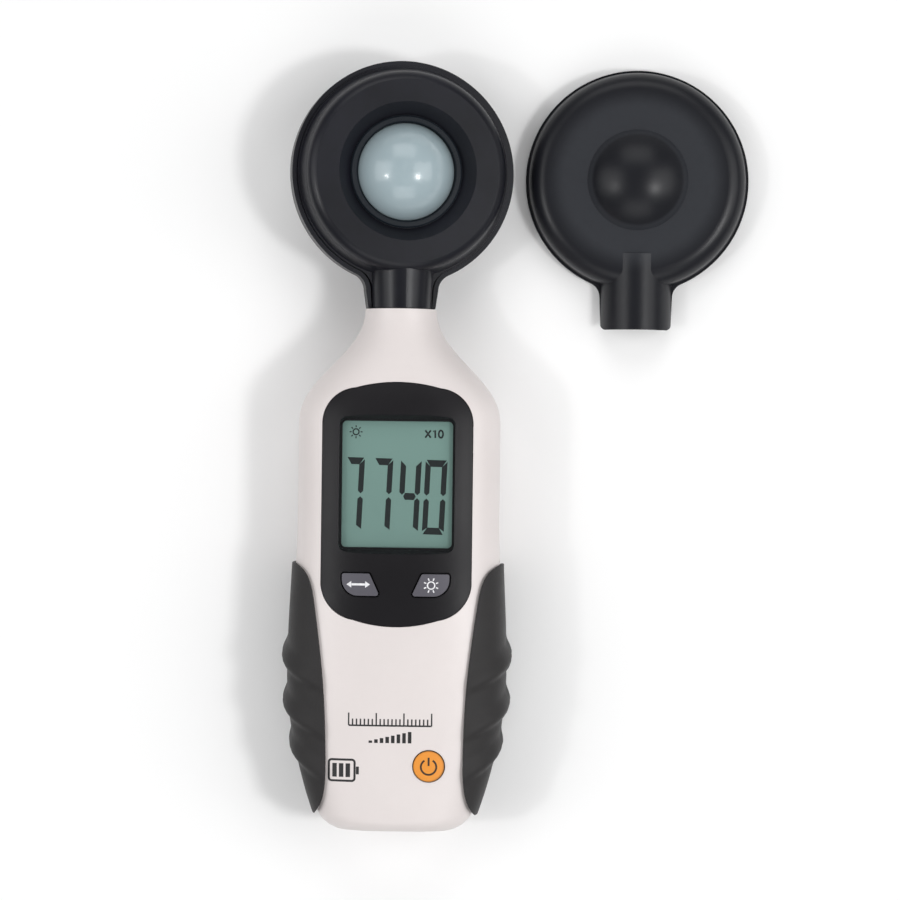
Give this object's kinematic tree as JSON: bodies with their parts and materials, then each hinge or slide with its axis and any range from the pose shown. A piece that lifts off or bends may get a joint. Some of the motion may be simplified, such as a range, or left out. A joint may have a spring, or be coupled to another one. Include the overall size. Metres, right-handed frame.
{
  "type": "handheld light meter",
  "caption": "Handheld light meter with a domed sensor head on a swivel neck, a display, rubber grips, press keys, a sliding battery door and a loose sensor cap.",
  "frame": {"origin": "mouth of the tripod socket, in the middle of the flat back", "axes": "+Z out of the display face, +Y towards the sensor head, +X to the right of someone reading the display"},
  "size_m": [0.1187, 0.1967, 0.0307],
  "materials": {
    "case_white": "fine moulded texture, satin",
    "head_black": "satin moulded plastic",
    "cap_black": "satin moulded plastic",
    "bezel_black": "fine grained satin",
    "grip_rubber": "matt soft rubber",
    "dome_opal": "translucent opal, satin",
    "ring_black": "gloss",
    "key_grey": "matt",
    "power_orange": "soft gloss",
    "window_clear": "clear, gloss",
    "display_grey_green": "reflective liquid-crystal cell",
    "light_panel": "diffusing acrylic",
    "frame_white": "plain moulding",
    "strip_pink": "silicone",
    "board_green": "solder resist on glass fibre",
    "chip_black": "moulded epoxy",
    "can_metal": "drawn can",
    "screw_steel": "zinc plated",
    "contact_nickel": "nickel-plated spring steel",
    "cell_jacket": "printed jacket, plain",
    "insert_brass": "turned",
    "label_silver": "blank foil label",
    "lead_red": "insulation",
    "lead_black": "insulation",
    "switch_black": "moulding",
    "plunger_white": "moulding",
    "socket_white": "nylon",
    "washer_nylon": "nylon",
    "silicon_blue": "silicon die in a clear package",
    "filter_glass": "absorbing filter glass"
  },
  "bodies": {
    "case": {"front_case": "case_white", "rear_case": "case_white", "display_bezel": "bezel_black", "lcd_window": "window_clear", "lcd_glass": "display_grey_green", "backlight_panel": "light_panel", "contact_strip": "strip_pink", "display_frame": "frame_white", "main_board": "board_green", "processor_chip": "chip_black", "board_chips": "chip_black", "capacitors": "can_metal", "crystal": "can_metal", "case_screws": "screw_steel", "board_screws": "screw_steel", "negative_contacts": "contact_nickel", "positive_contacts": "contact_nickel", "battery_lead_red": "lead_red", "battery_lead_black": "lead_black", "board_lead": "lead_black", "lead_socket": "socket_white", "tripod_insert": "insert_brass", "rating_label": "label_silver", "swivel_washer": "washer_nylon", "cell_left": "cell_jacket", "cell_middle": "cell_jacket", "cell_right": "cell_jacket", "mode_switch": "switch_black", "backlight_switch": "switch_black", "power_switch": "switch_black", "grip_right": "grip_rubber", "grip_left": "grip_rubber"},
    "head": {"head_front_shell": "head_black", "head_rear_shell": "head_black", "diffuser_dome": "dome_opal", "dome_ring": "ring_black", "sensor_board": "board_green", "photodiode": "silicon_blue", "colour_filter": "filter_glass", "filter_holder": "switch_black", "neck_tube": "head_black", "sensor_lead": "lead_black", "head_screws": "screw_steel"},
    "mode_button": {"mode_key": "key_grey", "mode_plunger": "plunger_white"},
    "backlight_button": {"backlight_key": "key_grey", "backlight_plunger": "plunger_white"},
    "power_button": {"power_key": "power_orange", "power_plunger": "plunger_white"},
    "door": {"battery_door": "case_white"},
    "cap": {"sensor_cap": "cap_black"}
  },
  "joints": [
    {"name": "head_swivel", "type": "hinge", "parent": "case", "child": "head", "pos_m": [0, 0.0602, 0.0152], "axis": [0, 1, 0], "range_deg": [-101, 169]},
    {"name": "mode_press", "type": "slide", "parent": "case", "child": "mode_button", "axis": [0, 0, -1], "range_m": [0, 0.0006], "stiffness_N_per_m": 600, "springref_m": -0.0003},
    {"name": "backlight_press", "type": "slide", "parent": "case", "child": "backlight_button", "axis": [0, 0, -1], "range_m": [0, 0.0006], "stiffness_N_per_m": 600, "springref_m": -0.0003},
    {"name": "power_press", "type": "slide", "parent": "case", "child": "power_button", "axis": [0, 0, -1], "range_m": [0, 0.0006], "stiffness_N_per_m": 600, "springref_m": -0.0003},
    {"name": "door_slide", "type": "slide", "parent": "case", "child": "door", "axis": [0, -1, 0], "range_m": [0, 0.062]},
    {"name": "cap_lift", "type": "slide", "parent": "case", "child": "cap", "axis": [0, 0, 1], "range_m": [0, 0.06]}
  ]
}
